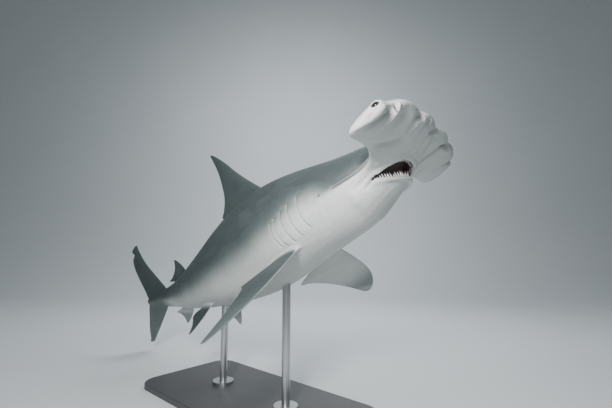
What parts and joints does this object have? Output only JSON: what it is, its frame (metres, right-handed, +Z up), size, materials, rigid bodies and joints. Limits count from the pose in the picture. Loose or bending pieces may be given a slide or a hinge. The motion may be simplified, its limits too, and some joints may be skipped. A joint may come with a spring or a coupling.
{
  "type": "hammerhead shark model",
  "caption": "Life-size still model of a hammerhead shark, wide flat head raised and mouth open, body banked as if swimming upwards, held on two rods over a flat plate.",
  "frame": {"origin": "centre of the underside of the stand's plate, on the floor", "axes": "+Z up, +X towards the snout and along the plate's length, -Y towards the shark's right side"},
  "size_m": [3.0815, 1.2024, 1.4222],
  "materials": {
    "skin": "satin, painted resin over a hard core",
    "eye": "polished",
    "stand": "powder coated, satin"
  },
  "bodies": {
    "root": {"head": "skin", "lower_jaw": "skin", "gills": "skin", "torso": "skin", "loin": "skin", "tail_stock": "skin", "first_dorsal_fin": "skin", "second_dorsal_fin": "skin", "anal_fin": "skin", "caudal_fin": "skin", "pectoral_fin_right": "skin", "pectoral_fin_left": "skin", "pelvic_fin_right": "skin", "pelvic_fin_left": "skin", "eye_right": "eye", "eye_left": "eye", "stand_base": "stand", "stand_rod_front": "stand", "stand_rod_rear": "stand"}
  },
  "joints": []
}
